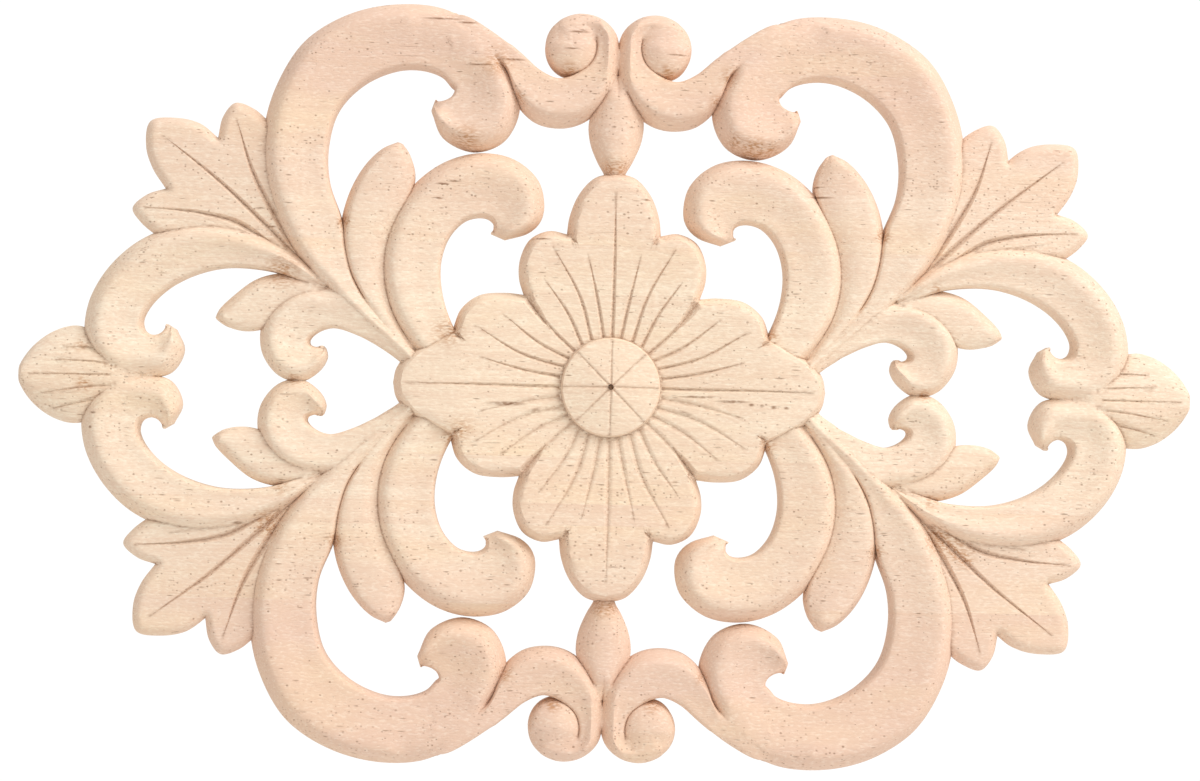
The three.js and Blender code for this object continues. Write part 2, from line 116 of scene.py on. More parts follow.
# %% The rails of one quarter
RAILS = {
    "great": [
        (52, 5, 46, 5), (66, 18, 57.5, 14.5), (76, 26.5, 65.5, 25), (82, 33.5, 68, 33),
        (86.5, 42, 69.4, 41), (89.7, 52.5, 73, 51), (90, 63, 73.5, 60), (87.2, 75, 71, 69.5),
        (80.4, 86.4, 64.6, 76.4), (69.5, 93.7, 56.3, 80.2), (57, 96.9, 50, 80.5),
        (44.5, 96, 45, 78.9), (35, 90.5, 42.7, 76.5), (28, 82, 41.7, 75.5), (24.8, 71.5, 42.3, 74),
        (28.6, 63, 43.3, 73.2), (36.5, 60, 44.4, 72.7), (44.4, 63.4, 45.5, 72.5), (47.4, 69.8, 46.5, 72.6),
    ],
    "stem": [
        (42, 84, 46.8, 94.6), (33.5, 83.5, 40.3, 94.7), (28.6, 80, 32.5, 90.9), (26, 73, 25, 85.1),
        (20.8, 68.1, 19.8, 80.7), (14.5, 66.8, 15.5, 78.9), (9, 68, 12.6, 79.4), (4, 71.8, 9.4, 81.2),
        (0.8, 77, 6.8, 83.8), (-0.3, 84, 5.9, 87.2), (0.8, 91, 6.6, 90.2), (5, 95, 8.4, 91.4),
        (10.5, 96, 11.4, 91), (15.2, 94.2, 13.6, 90.4), (17.2, 91.8, 15.8, 89.8),
    ],
    "heart": [
        (47, 3, 37, 9), (55.3, 14.5, 41.3, 16.4), (58.8, 23, 43.6, 23.5), (59.6, 32, 44, 31),
        (57.4, 41.2, 42, 37.7), (51.8, 50.3, 38.3, 41.9), (43.8, 56.8, 35, 43), (34.8, 59.4, 32.6, 42.8),
        (25.8, 58, 31.3, 42), (19.5, 52.6, 30.8, 41.2), (18, 45.2, 30.8, 40.6), (19.2, 41.8, 30.8, 40),
        (22, 39.3, 31, 39.6), (27.8, 37.4, 31.4, 38.9),
    ],
    "side": [
        (72, 25, 74, 23), (81.5, 33, 83.5, 26.8), (91, 37.7, 91, 28.1), (101, 39.5, 99.5, 28),
        (111, 38.6, 107.4, 25.8), (120.9, 34.3, 113.4, 22.3), (128.6, 26.7, 117.6, 17.9),
        (133, 17.5, 119.3, 14.3), (133.2, 8.3, 119.1, 12.3), (127.5, 1.2, 118.4, 11.2),
        (119, -0.4, 117, 10.6), (111.9, 1.1, 115.6, 10.7), (108.8, 7, 114.4, 11.4),
        (110.9, 12.1, 113.1, 13.4),
    ],
    "hook": [
        (52, 10, 48, 1), (61.5, 19, 57.5, 7.9), (69.5, 23.8, 65, 11.9), (77.5, 24, 71.3, 13.6),
        (84.3, 20.9, 75.3, 12.2), (88.9, 14.7, 77, 10.3), (88.9, 7.1, 76.8, 9.3), (84.5, 1.1, 76.1, 8.9),
        (79, -0.3, 75.2, 8.7), (74, 3, 74.5, 8.9), (72.4, 6.3, 73.9, 9), (72.9, 8.4, 73.5, 9),
    ],
    "leaf": [
        (53, 7, 49, 8), (64, 21.3, 55.5, 17.5), (68.4, 30, 57.7, 26.5), (69.7, 38.5, 56.8, 37),
        (68.1, 47.2, 52.6, 47), (64.4, 54.7, 51.2, 53), (59.6, 59.7, 52.4, 58), (55.7, 61.5, 54.4, 61),
    ],
    "sprig": [
        (70, 23.5, 76, 19), (76, 26.5, 80, 18), (83, 27.4, 84, 15.5), (90.4, 25.5, 88.3, 13.2),
        (96.4, 21, 93.5, 12.3), (100, 17.3, 98.1, 13.3), (100.8, 15.4, 100.5, 14.9),
    ],
}
BUD = [
    (117, 0.8, 117, -0.8), (122, 3.3, 122, -3.3), (128.5, 8.5, 128.5, -8.5), (134.8, 12.3, 134.8, -12.3),
    (140.8, 11.1, 140.8, -11.1), (146.4, 7.1, 146.4, -7.1), (149.7, 2.3, 149.7, -2.3), (150, 0.4, 150, -0.4),
]
DROP = [
    (1.2, 80, -1.2, 80), (4.2, 75, -4.2, 75), (6.8, 69, -6.8, 69), (6.5, 63.5, -6.5, 63.5),
    (4.5, 58.3, -4.5, 58.3), (2.6, 54.8, -2.6, 54.8), (2.2, 52, -2.2, 52),
]
print({name: len(stations) for name, stations in RAILS.items()}, "stations")

# %% [markdown]
# The outlines of the leaf fan and the flower
#
# These two are pads: a closed edge with one face inside it. The edge is drawn lobe by
# lobe or petal by petal, because each lobe is a smooth curve and only the notches
# between them are sharp.

# %% The edges of the pads
FAN_LOBES = [
    [(88.6, 65.8), (92.5, 69), (97.2, 70.4), (100.2, 66.8), (101.4, 61.2)],
    [(101.4, 61.2), (106, 64.7), (112.5, 66), (118.6, 65), (119.6, 58.5), (117.8, 52.8), (114.4, 47.8)],
    [(114.4, 47.8), (119, 46.2), (122.6, 42.6), (120.3, 39), (116, 35.6)],
]
FAN_ROOT = [(116.4, 36), (101, 33), (84, 27), (75, 28.5), (80, 46), (84.5, 62)]
FAN_MIDDLE = (97, 48)

PETALS = [
    [(0, 55.2), (5.2, 53.8), (9.2, 49.5), (11.4, 44), (12, 39.2)],
    [(12, 39.2), (16.5, 39.9), (21.3, 37.6), (23.8, 32.3), (23.9, 27.5), (22.6, 23.2)],
    [(22.6, 23.2), (27.5, 23.6), (34, 22.8), (38.6, 19.2), (40.6, 14)],
    [(40.6, 14), (46, 11.2), (51.5, 7.8), (54.6, 3.8), (55.4, 0)],
]
EYE = {"x": 12, "z": 87.3, "along": 6.8, "up": 7.6}
print(len(FAN_LOBES), "lobes and", len(PETALS), "petals in a quarter")

# %% [markdown]
# Smooth lines
#
# A carver draws a scroll in one sweep of the arm. The same sweep through the stations
# is a Catmull-Rom line: it passes through every point, and its tangent at each point
# comes from the neighbours. The lines are cut into steps of one length, so that the
# facets are even.

# %% Lines through points
def smooth_line(points):
    """The line through the points, as a function of the share of the way along."""
    p = [Vector(point) for point in points]
    p = [2 * p[0] - p[1], *p, 2 * p[-1] - p[-2]]

    def at(share):
        i = min(int(share * (len(points) - 1)), len(points) - 2)
        w = share * (len(points) - 1) - i
        a, b, c, d = p[i : i + 4]
        ab, bc, cd = (max((q - r).length, 1e-4) ** 0.5 for q, r in ((a, b), (b, c), (c, d)))
        leave = ((b - a) / ab - (c - a) / (ab + bc) + (c - b) / bc) * bc
        meet = ((c - b) / bc - (d - b) / (bc + cd) + (d - c) / cd) * bc
        bend = 3 * (c - b) - 2 * leave - meet
        return b + leave * w + bend * w**2 + (2 * (b - c) + leave + meet) * w**3

    return at


def even_shares(points, step):
    """Shares of the way along at which the line is cut, about a step apart."""
    line, spans = smooth_line(points), len(points) - 1
    shares = [0.0]
    for i in range(spans):
        marks = [line((i + k / 4) / spans) for k in range(5)]
        length = sum((b - a).length for a, b in zip(marks, marks[1:]))
        cuts = max(1, round(length / step))
        shares += [(i + k / cuts) / spans for k in range(1, cuts + 1)]
    return shares


def line_points(points, step):
    line = smooth_line(points)
    return [line(share) for share in even_shares(points, step)[:-1]]


STEP = 1.1
PATTERN_HALF_LENGTH, PATTERN_TOP = 150, 96.9
crown = line_points([station[:2] for station in RAILS["great"]], STEP)
widest = max(PATTERN_TOP, *[p.y for p in crown])
FIT_X = CAD_BOX[1].x / PATTERN_HALF_LENGTH
FIT_Z = CAD_BOX[1].z / widest
print("the pattern is stretched by", round(FIT_X / MM, 5), "and", round(FIT_Z / MM, 5))

# %% [markdown]
# From a sheet to a solid
#
# Each form starts as a flat grid. Its points are laid on the pattern at their heights,
# the sheet is extruded, and the copy is pressed flat onto the back, as the board's back
# is flat. Doubles are merged, so a sheet whose sides meet becomes a round pad.

# %% Laying a sheet
def place(x, z, height):
    """A point of the pattern, in mm, as a point of the board."""
    return Vector((x * FIT_X, -height * MM, z * FIT_Z))


def in_edit_mode(piece, work):
    bpy.ops.object.select_all(action="DESELECT")
    piece.select_set(True)
    bpy.context.view_layer.objects.active = piece
    bpy.ops.object.mode_set(mode="EDIT")
    bpy.ops.mesh.select_all(action="SELECT")
    work()
    bpy.ops.object.mode_set(mode="OBJECT")


def merge_and_face_out():
    bpy.ops.mesh.select_all(action="SELECT")
    bpy.ops.mesh.remove_doubles(threshold=0.002 * MM)
    bpy.ops.mesh.normals_make_consistent(inside=False)


def grid_of(name, rows):
    """A grid whose point (i, j) lies at rows[i][j]."""
    along, across = len(rows) - 1, len(rows[0]) - 1
    bpy.ops.object.select_all(action="DESELECT")
    bpy.ops.mesh.primitive_grid_add(x_subdivisions=along, y_subdivisions=across, size=1)
    sheet = bpy.context.object
    sheet.name = name
    for vertex in sheet.data.vertices:
        i, j = round((vertex.co.x + 0.5) * along), round((vertex.co.y + 0.5) * across)
        vertex.co = rows[i][j]
    return sheet


def solid_from(name, rows):
    sheet = grid_of(name, rows)

    def press():
        bpy.ops.mesh.remove_doubles(threshold=0.002 * MM)
        bpy.ops.mesh.select_all(action="SELECT")
        bpy.ops.mesh.extrude_region_move()
        bpy.ops.transform.resize(value=(1, 0, 1), center_override=(0, 0, 0))
        merge_and_face_out()

    in_edit_mode(sheet, press)
    return sheet


# %% [markdown]
# The section of a scroll
#
# Across a scroll the surface starts at the sawn edge, rolls up over a round rim to the
# crest, falls in a shallow hollow, and ends in a small round arris on the inner side.
# Where the ribbon narrows towards its tip it also gets lower. One function gives the
# heights, and each scroll passes its own crest, rim and fall.

# %% Heights across a ribbon
RIM_ROWS, FACE_ROWS, ARRIS_ROWS = 7, 7, 3
RIM_ROUND, DOME_ROUND = 1.8, 2.6  # two is a true arc, more is fuller
THINNING = 0.7  # how slowly a form gets lower as it gets narrower
DOME_FULL = 9  # the width from which a bud or drop has its whole height


def rim_rise(u):
    """Nought at the sawn edge, one on the crest."""
    return 1 - (1 - u) ** RIM_ROUND


def scroll_section(width, form, along):
    """Pairs of distance from the outer edge and height, all in mm."""
    rim = min(RIM[form], 0.45 * width)
    arris = min(ARRIS, 0.3 * width)
    fullness = min(1, width / (RIM[form] + ARRIS)) ** THINNING
    crest = EDGE + (CREST[form] - EDGE) * fullness
    root_fall, tip_fall = FALL[form]
    shelf = max(EDGE, crest - (root_fall + (tip_fall - root_fall) * along) * fullness)
    sill = max(EDGE - ARRIS_DROP / 2, shelf - ARRIS_DROP * fullness)
    rows = []
    for k in range(RIM_ROWS + 1):
        u = (k / RIM_ROWS) ** 1.4
        rows.append((rim * u, EDGE + (crest - EDGE) * rim_rise(u)))
    for k in range(1, FACE_ROWS + 1):
        v = k / FACE_ROWS
        hollow = v**3 if form in LEAVES else 0.5 - 0.5 * math.cos(math.pi * v**0.8)
        rows.append((rim + (width - rim - arris) * v, crest - (crest - shelf) * hollow))
    for k in range(1, ARRIS_ROWS + 1):
        w = k / ARRIS_ROWS
        rows.append((width - arris * (1 - w), shelf - (shelf - sill) * w**2))
    return rows


def dome_section(width, form, along):
    """A section that is round on both sides, for the bud and the drop."""
    fullness = min(1, width / DOME_FULL) ** THINNING
    rise = (CREST[form] - EDGE) * fullness
    rows = RIM_ROWS + FACE_ROWS + ARRIS_ROWS
    return [
        (width * k / rows, EDGE + rise * (1 - abs(2 * k / rows - 1) ** DOME_ROUND))
        for k in range(rows + 1)
    ]


def off_segment(p, a, b):
    """How far a point lies from the straight line between two others."""
    share = max(0, min(1, (p - a).dot(b - a) / max((b - a).length_squared, 1e-9)))
    return (p - a.lerp(b, share)).length


def carve_ribbon(form, stations, section):
    outer = smooth_line([station[:2] for station in stations])
    inner = smooth_line([station[2:] for station in stations])
    rows = []
    for share in even_shares([station[:2] for station in stations], STEP):
        a, b = outer(share), inner(share)
        width = math.hypot((b.x - a.x) * FIT_X, (b.y - a.y) * FIT_Z) / MM
        row = []
        for distance, height in section(width, form, share):
            p = a.lerp(b, distance / width)
            nose = min(1, off_segment(p, outer(1), inner(1)) / NOSE) if share > 0.8 else 1
            row.append(place(p.x, p.y, EDGE + (height - EDGE) * (0.1 + 0.9 * rim_rise(nose))))
        rows.append(row)
    return solid_from(form, rows)


ribbons = [carve_ribbon(form, stations, scroll_section) for form, stations in RAILS.items()]
print({r.name: len(r.data.polygons) for r in ribbons}, "faces")

# %% [markdown]
# Pads
#
# The leaf fan, the flower, the button and the ball in the volute are pads: rings that
# step inwards from a closed edge, and then close on a middle. How high a point lies
# depends on how far it is from the edge, so the rim is round everywhere, and each notch
# between two lobes runs out into the face as a soft valley.

# %% Pads on a closed edge
def distance_from(outline):
    """A function that gives the distance of a point from the closed edge."""
    marks = []
    for a, b in zip(outline, [*outline[1:], outline[0]]):
        cuts = max(1, math.ceil((Vector(b) - Vector(a)).length / 0.1))
        marks += [Vector(a).lerp(Vector(b), k / cuts) for k in range(cuts)]
    tree = kdtree.KDTree(len(marks))
    for i, mark in enumerate(marks):
        tree.insert((mark.x, mark.y, 0), i)
    tree.balance()
    return lambda x, z: tree.find((x, z, 0))[2]


def carve_pad(name, middle, outline, rim, height, rim_rings=7, face_rings=8, core=0.0):
    """A pad with a round rim. height(x, z) is the level of the face inside the rim."""
    centre = Vector(middle)
    inset = distance_from(outline)
    rows = []
    for p in outline:
        inward = centre - Vector(p)
        shoulder = min(0.5, 1.15 * rim / inward.length)
        shares = [shoulder * (k / rim_rings) ** 1.4 for k in range(rim_rings + 1)]
        shares += [shoulder + (1 - core - shoulder) * k / face_rings for k in range(1, face_rings + 1)]
        shares += [1] if core else []
        row = []
        for share in shares:
            q = Vector(p) + inward * share
            rise = rim_rise(min(1, inset(q.x, q.y) / rim)) if share else 0
            row.append(place(q.x, q.y, EDGE + (height(q.x, q.y) - EDGE) * rise))
        rows.append(row)
    rows.append(rows[0])
    return solid_from(name, rows)


def ellipse(x, z, along, up, sides):
    turns = [2 * math.pi * i / sides for i in range(sides)]
    return [(x + along * math.cos(t), z + up * math.sin(t)) for t in turns]


fan_edge = [tuple(p) for lobe in FAN_LOBES for p in line_points(lobe, 0.8)] + FAN_ROOT
fan = carve_pad("fan", FAN_MIDDLE, fan_edge, FAN_RIM, lambda x, z: CREST["fan"], face_rings=20)


def eye_height(x, z):
    out = math.hypot((x - EYE["x"]) / EYE["along"], (z - EYE["z"]) / EYE["up"])
    return EDGE + (CREST["eye"] - EDGE) * math.sqrt(max(0, 1 - out**2 * 0.8))


eye_edge = ellipse(EYE["x"], EYE["z"], EYE["along"], EYE["up"], 48)
eye = carve_pad("eye", (EYE["x"], EYE["z"]), eye_edge, 0.9, eye_height, rim_rings=3)
print("fan", len(fan.data.polygons), "faces, eye", len(eye.data.polygons))

# %% [markdown]
# Veins
#
# A V-shaped tool cuts the veins of the leaves and petals: wide and deep where it leans
# in, thin where it is lifted out. Here it is a long three-sided bar whose lower edge
# follows the vein, a little under the surface. The bar is taken away from the wood by a
# Boolean modifier, which leaves both lips of the cut crisp.

# %% The veining tool
TOOL_CLEAR = 3
VEIN_SLOPE = 0.55  # the depth of a cut, as a share of its width


def vein_tool(path, width, surface, slope=VEIN_SLOPE):
    line = smooth_line(path)
    rows = []
    for share in even_shares(path, 1.0):
        p = line(share)
        along = (line(min(1, share + 0.02)) - line(max(0, share - 0.02))).normalized()
        size = width * (1 - share**3)
        level = surface(p.x, p.y)
        depth = slope * size
        spread = size / 2 * (1 + TOOL_CLEAR / max(depth, 0.05)) if size > 0.1 else 0.3
        ring = [
            place(p.x, p.y, level - depth),
            place(p.x + along.y * spread, p.y - along.x * spread, level + TOOL_CLEAR),
            place(p.x - along.y * spread, p.y + along.x * spread, level + TOOL_CLEAR),
        ]
        rows.append([*ring, ring[0]])
    tool = grid_of("vein", rows)

    def close():
        bpy.ops.mesh.remove_doubles(threshold=0.002 * MM)
        bpy.ops.mesh.select_all(action="SELECT")
        bpy.ops.mesh.fill_holes(sides=3)
        merge_and_face_out()

    in_edit_mode(tool, close)
    return tool


def work_with(piece, tool, operation):
    """Joins the tool to the piece, or cuts it away, and uses the tool up."""
    modifier = piece.modifiers.new(operation.lower(), "BOOLEAN")
    modifier.operation = operation
    modifier.solver = "MANIFOLD"
    modifier.object = tool
    bpy.context.view_layer.objects.active = piece
    bpy.ops.object.modifier_apply(modifier=modifier.name)
    bpy.data.objects.remove(tool, do_unlink=True)


FAN_VEINS = [
    [(80.5, 32.5), (88, 44.6), (92.4, 53), (96.5, 65.6)],
    [(78.5, 30), (83.8, 34.8), (99, 48.6), (115, 61)],
    [(86, 33), (95, 39.2), (105, 41.7), (119.5, 42.8)],
]
for path in FAN_VEINS:
    work_with(fan, vein_tool(path, 2.0, lambda x, z: CREST["fan"]), "DIFFERENCE")
print("the fan has", len(fan.data.polygons), "faces")

# %% [markdown]
# One quarter, then four
#
# The forms of a quarter overlap where they grow out of each other. A union keeps only
# what shows, as the carver does when one form is cut down beside another. The finished
# quarter is copied and mirrored three times. A mirror turns a mesh inside out, so each
# copy has its faces turned outwards again.

# %% Joining and mirroring the scrollwork
def mirrored(piece, sx, sz):
    bpy.ops.object.select_all(action="DESELECT")
    piece.select_set(True)
    bpy.context.view_layer.objects.active = piece
    bpy.ops.object.duplicate()
    copy = bpy.context.object

    def turn():
        bpy.ops.transform.resize(value=(sx, 1, sz), center_override=(0, 0, 0))
        merge_and_face_out()

    in_edit_mode(copy, turn)
    return copy


quarter = ribbons[0]
for form in [*ribbons[1:], fan, eye]:
    work_with(quarter, form, "UNION")
print("one quarter has", len(quarter.data.polygons), "faces")

# %% [markdown]
# The end buds and the drops
#
# A bud closes each end of the onlay and a drop hangs above and below the flower. Both
# lie across a line of symmetry, so their section is round on both sides, and the bud
# has a midrib and two pairs of short veins.

# %% Buds and drops
bud = carve_ribbon("bud", BUD, dome_section)


def bud_height(x, z):
    """The level of the bud's dome, from its half width at x."""
    for (xa, half_a, *_), (xb, half_b, *_) in zip(BUD, BUD[1:]):
        if xa <= x <= xb:
            half = half_a + (half_b - half_a) * (x - xa) / (xb - xa)
            fullness = min(1, 2 * half / DOME_FULL) ** THINNING
            return EDGE + (CREST["bud"] - EDGE) * fullness * (1 - min(1, abs(z) / half) ** DOME_ROUND)
    return EDGE


BUD_PATHS = [
    [(119, 0), (130, 0), (146.5, 0)],
    [(125, 2.8), (131, 3.3), (140, 3.6)],
    [(129, 6.8), (133, 6.9), (138.5, 6.7)],
    [(125, -2.6), (133, -3.2), (143.5, -4.9)],
    [(128.5, -6.2), (134, -7.1), (140.5, -8.7)],
]
for path in BUD_PATHS:
    work_with(bud, vein_tool(path, 1.0, bud_height, slope=0.4), "DIFFERENCE")
drop = carve_ribbon("drop", DROP, dome_section)
print("bud", len(bud.data.polygons), "faces, drop", len(drop.data.polygons))

# %% [markdown]
# The flower
#
# Twelve petals lie round a button. Their edges are rounded over, their faces rise from
# the throat to the tips, and the V tool cuts seven veins in each quarter beside the
# ribs on the axes. Above the middle those cuts are narrow and steep, below it they are
# wide and soft. Short wide cuts at the notches part one petal from the next.

# %% Petals
PETAL_TIP, THROAT = 10.4, 8.8
BUTTON_R = 13.2
PETAL_REACH = 40


def petal_height(x, z):
    u = (math.hypot(x, z) - BUTTON_R) / (PETAL_REACH - BUTTON_R)
    return THROAT + (PETAL_TIP - THROAT) * max(0, min(1, u))


corner = [tuple(p) for petal in PETALS for p in line_points(petal, 0.8)] + [PETALS[-1][-1]]
right = [*corner, *[(x, -z) for x, z in reversed(corner[:-1])]]
flower_edge = [*right, *[(-x, z) for x, z in reversed(right[1:-1])]]
flower = carve_pad("flower", (0, 0), flower_edge, PETAL_RIM, petal_height, face_rings=18, core=0.24)

RIBS = [[(0, 12.8), (0, 32), (0, 49)], [(13, 0), (32, 0), (50.5, 0)]]
VEINS = [
    [(2.2, 12.6), (4, 22), (6.6, 33.2)],
    [(5.2, 11.8), (8.6, 23), (15.5, 35.3)],
    [(7.6, 10.6), (11.5, 18.6), (17.5, 27)],
    [(9.4, 8.9), (14.5, 13.6), (20.6, 21)],
    [(10.8, 7), (18.5, 10.9), (27.3, 17.6)],
    [(12, 4.9), (23, 8.2), (34.5, 14.8)],
    [(12.9, 2.5), (22, 4), (33.5, 7)],
]
# From the notch inwards, where two petals part.
PARTINGS = [
    [(12.3, 40.2), (11.2, 38.2), (9.4, 36.4)],
    [(23, 23.8), (19.5, 19.2), (15.8, 14.4)],
    [(41.2, 15.4), (40, 12.8), (37.4, 11.2)],
]


def in_quarters(paths):
    return [[(x * sx, z * sz) for x, z in path] for path in paths for sx in (1, -1) for sz in (1, -1)]


for path in [*RIBS, *[[(-x, -z) for x, z in rib] for rib in RIBS], *in_quarters(VEINS)]:
    width, slope = (1.3, 0.45) if path[-1][1] >= 0 else (2.0, 0.26)
    work_with(flower, vein_tool(path, width, petal_height, slope), "DIFFERENCE")
for path in in_quarters(PARTINGS):
    work_with(flower, vein_tool(path, 2.8, petal_height), "DIFFERENCE")
print("the flower has", len(flower.data.polygons), "faces")

# %% [markdown]
# The button
#
# The button in the middle is turned by hand into a low cone with eight thin cuts, and a
# centre drill has left a small hole. It is the thickest place of the board.

# %% Button
BUTTON_EDGE, BUTTON_TOP = 10.2, 11.9
PIN_R, PIN_DEPTH = 0.75, 2.5


def button_height(x, z):
    return BUTTON_TOP - (BUTTON_TOP - BUTTON_EDGE) * (math.hypot(x, z) / BUTTON_R) ** 1.3


button = carve_pad("button", (0, 0), ellipse(0, 0, BUTTON_R, BUTTON_R, 96), 0.9, button_height, rim_rings=4)
for k in range(8):
    turn = math.pi / 4 * k
    path = [(r * math.cos(turn), r * math.sin(turn)) for r in (0.8, 7, 12.6)]
    work_with(button, vein_tool(path, 1.0, button_height, slope=0.3), "DIFFERENCE")
bpy.ops.mesh.primitive_cylinder_add(
    vertices=24, radius=PIN_R * MM, depth=2 * PIN_DEPTH * MM, location=(0, -BUTTON_TOP * MM, 0),
    rotation=(math.pi / 2, 0, 0),
)
drill = bpy.context.object
bpy.ops.object.transform_apply(location=True, rotation=True, scale=True)
work_with(button, drill, "DIFFERENCE")
work_with(flower, button, "UNION")
print("with its button the flower has", len(flower.data.polygons), "faces")

# %% The whole board
onlay = quarter
others = [mirrored(quarter, -1, 1), mirrored(quarter, 1, -1), mirrored(quarter, -1, -1)]
others += [mirrored(drop, 1, -1), mirrored(bud, -1, 1), drop, bud, flower]
for piece in others:
    work_with(onlay, piece, "UNION")
onlay.name = "carved_onlay"
onlay.data.name = "carved_onlay"
print("the board has", len(onlay.data.polygons), "faces")

# %% [markdown]
# The flat back
#
# The board lies flat against what it is fixed to, so its back is one plane. The joined
# grids have left thousands of small faces there, which show nothing. They are deleted,
# and the open edge is filled again with one flat sheet of as few triangles as it needs.

# %% Clearing the back
def clear_back():
    bpy.ops.mesh.select_all(action="DESELECT")
    bpy.ops.object.mode_set(mode="OBJECT")
    for face in onlay.data.polygons:
        face.select = abs(face.normal.y) > 0.99 and face.center.y > -0.01 * MM
    bpy.ops.object.mode_set(mode="EDIT")
    bpy.ops.mesh.delete(type="FACE")
    bpy.ops.mesh.select_all(action="DESELECT")
    bpy.ops.mesh.select_mode(type="EDGE")
    bpy.ops.mesh.select_non_manifold()
    bpy.ops.mesh.fill(use_beauty=False)
    bpy.ops.mesh.select_mode(type="VERT")
    bpy.ops.mesh.select_all(action="SELECT")
    bpy.ops.mesh.quads_convert_to_tris()
    bpy.ops.mesh.normals_make_consistent(inside=False)


in_edit_mode(onlay, clear_back)
print("with a plain back the board has", len(onlay.data.polygons), "triangles")

# %% [markdown]
# Where forms flow together
#
# A union leaves a crease wherever two forms meet. The carver keeps that crease between
# two scrolls, but sands it away where they grow from one root, where the stem leaves
# the great scroll and where the volute closes over its ball. First the long faces are
# halved, so that there are points to move, and the slivers that this leaves are cleared
# away. A Smooth modifier then works on height alone, inside soft zones along short lines
# of the pattern.

# %% Sanding the roots
LONGEST, LONGEST_OUTSIDE = 1.3, 2.4
# Two ends of the line, the reach of the full effect, the reach of its end, in mm, and
# how strong it is.
BLENDS = [
    ((53, 8.5), (57.5, 12), 1.6, 3.2, 0.8),
    ((57.5, 12), (63, 17), 2, 4, 0.5),
    ((63, 17), (75, 25.5), 1.6, 4.4, 0.3),
    ((47, 90), (34.5, 87), 3.5, 7.5, 1),
    ((47, 93.5), (44, 93), 1.8, 4, 1),
    ((9, 92), (17, 90), 2.2, 4.5, 1),
    ((0, 77), (0, 89), 1.2, 3, 0.6),
    ((106, 0), (116, 0), 1, 2.4, 0.5),
    ((116, 0), (123, 0), 1.8, 3.8, 0.75),
    ((114, 10), (121, 4.5), 3.5, 7.5, 0.15),
    ((74.2, 7), (80, 3.5), 2.8, 5.5, 0.15),
    ((45.6, 70), (37, 64), 4, 8, 0.15),
    ((29.5, 40), (23, 45), 3.5, 7.5, 0.15),
]


def nearness(x, z, start, end, full, fade, strength=1):
    """All the strength within the full reach of the line, and nought past its fade."""
    off = off_segment(Vector((x, z)), Vector(start), Vector(end))
    u = max(0, min(1, (fade - off) / (fade - full)))
    return strength * u * u * (3 - 2 * u)


def blended(co):
    """How much of the sanding a point gets: the pattern is mirrored, so the signs drop out."""
    x, z = abs(co.x) / FIT_X, abs(co.z) / FIT_Z
    return max(nearness(x, z, *zone) for zone in BLENDS)


def halve_long_edges():
    for _ in range(3):
        bpy.ops.mesh.select_all(action="DESELECT")
        bpy.ops.object.mode_set(mode="OBJECT")
        points = onlay.data.vertices
        found = 0
        for edge in onlay.data.edges:
            a, b = (points[i].co for i in edge.vertices)
            length = (a - b).length / MM
            too_long = length > LONGEST_OUTSIDE or length > LONGEST and max(blended(a), blended(b)) > 0
            edge.select = too_long and max(a.y, b.y) < -0.9 * EDGE * MM
            found += edge.select
        bpy.ops.object.mode_set(mode="EDIT")
        bpy.ops.mesh.select_mode(type="EDGE")
        if found:
            bpy.ops.mesh.subdivide(number_cuts=1)
            bpy.ops.mesh.select_all(action="SELECT")
            bpy.ops.mesh.quads_convert_to_tris()
    bpy.ops.mesh.select_mode(type="VERT")


def drop_flaps():
    """A halved sliver can leave a flap without width, which hangs on an open edge."""
    bpy.ops.mesh.select_mode(type="EDGE")
    bpy.ops.mesh.select_all(action="DESELECT")
    bpy.ops.mesh.select_non_manifold(
        extend=False, use_multi_face=False, use_non_contiguous=False, use_verts=False
    )
    bpy.ops.mesh.delete(type="EDGE")
    bpy.ops.mesh.select_mode(type="VERT")
    bpy.ops.mesh.select_all(action="SELECT")
    bpy.ops.mesh.delete_loose()
    bpy.ops.mesh.select_all(action="SELECT")
    bpy.ops.mesh.dissolve_degenerate(threshold=0.001 * MM)


in_edit_mode(onlay, halve_long_edges)
in_edit_mode(onlay, drop_flaps)
sanded = onlay.vertex_groups.new(name="sanded")
for vertex in onlay.data.vertices:
    if -vertex.co.y > (EDGE + 0.4) * MM:
        weight = blended(vertex.co)
        if weight > 0:
            sanded.add([vertex.index], weight, "REPLACE")
sanding = onlay.modifiers.new("sanding", "SMOOTH")
sanding.vertex_group = sanded.name
sanding.use_x = sanding.use_z = False
sanding.factor = 0.8
sanding.iterations = 60
bpy.ops.object.modifier_apply(modifier=sanding.name)
print("sanded, the board has", len(onlay.data.polygons), "triangles")

# %% [markdown]
# The carver's hand
#
# No two quarters of the real board are quite alike: the edges wander by a fifth of a
# millimetre and the faces keep the shallow facets of the gouge and the sanding. Slow
# noise moves the points a little, in the plane of the board and in depth, and leaves
# the back flat. Its long thin triangles can fold over when their corners move, so the
# back is filled once more. The noise has a seed, or it would differ in each run.

# %% Small irregularities
# How many waves there are to a metre, about, and how deep they are in mm.
WANDER = (45, 0.22)
GOUGE = (150, 0.09)
SANDPAPER = (420, 0.045)


def by_hand(piece):
    for vertex in piece.data.vertices:
        flat = Vector((vertex.co.x, 0, vertex.co.z))
        wander = noise.noise_vector(flat * WANDER[0]) * WANDER[1] * MM
        facets = sum(noise.noise(flat * waves) * depth for waves, depth in (GOUGE, SANDPAPER))
        raised = min(1, -vertex.co.y / (EDGE * MM))
        vertex.co.x += wander.x
        vertex.co.z += wander.z
        vertex.co.y += facets * MM * raised


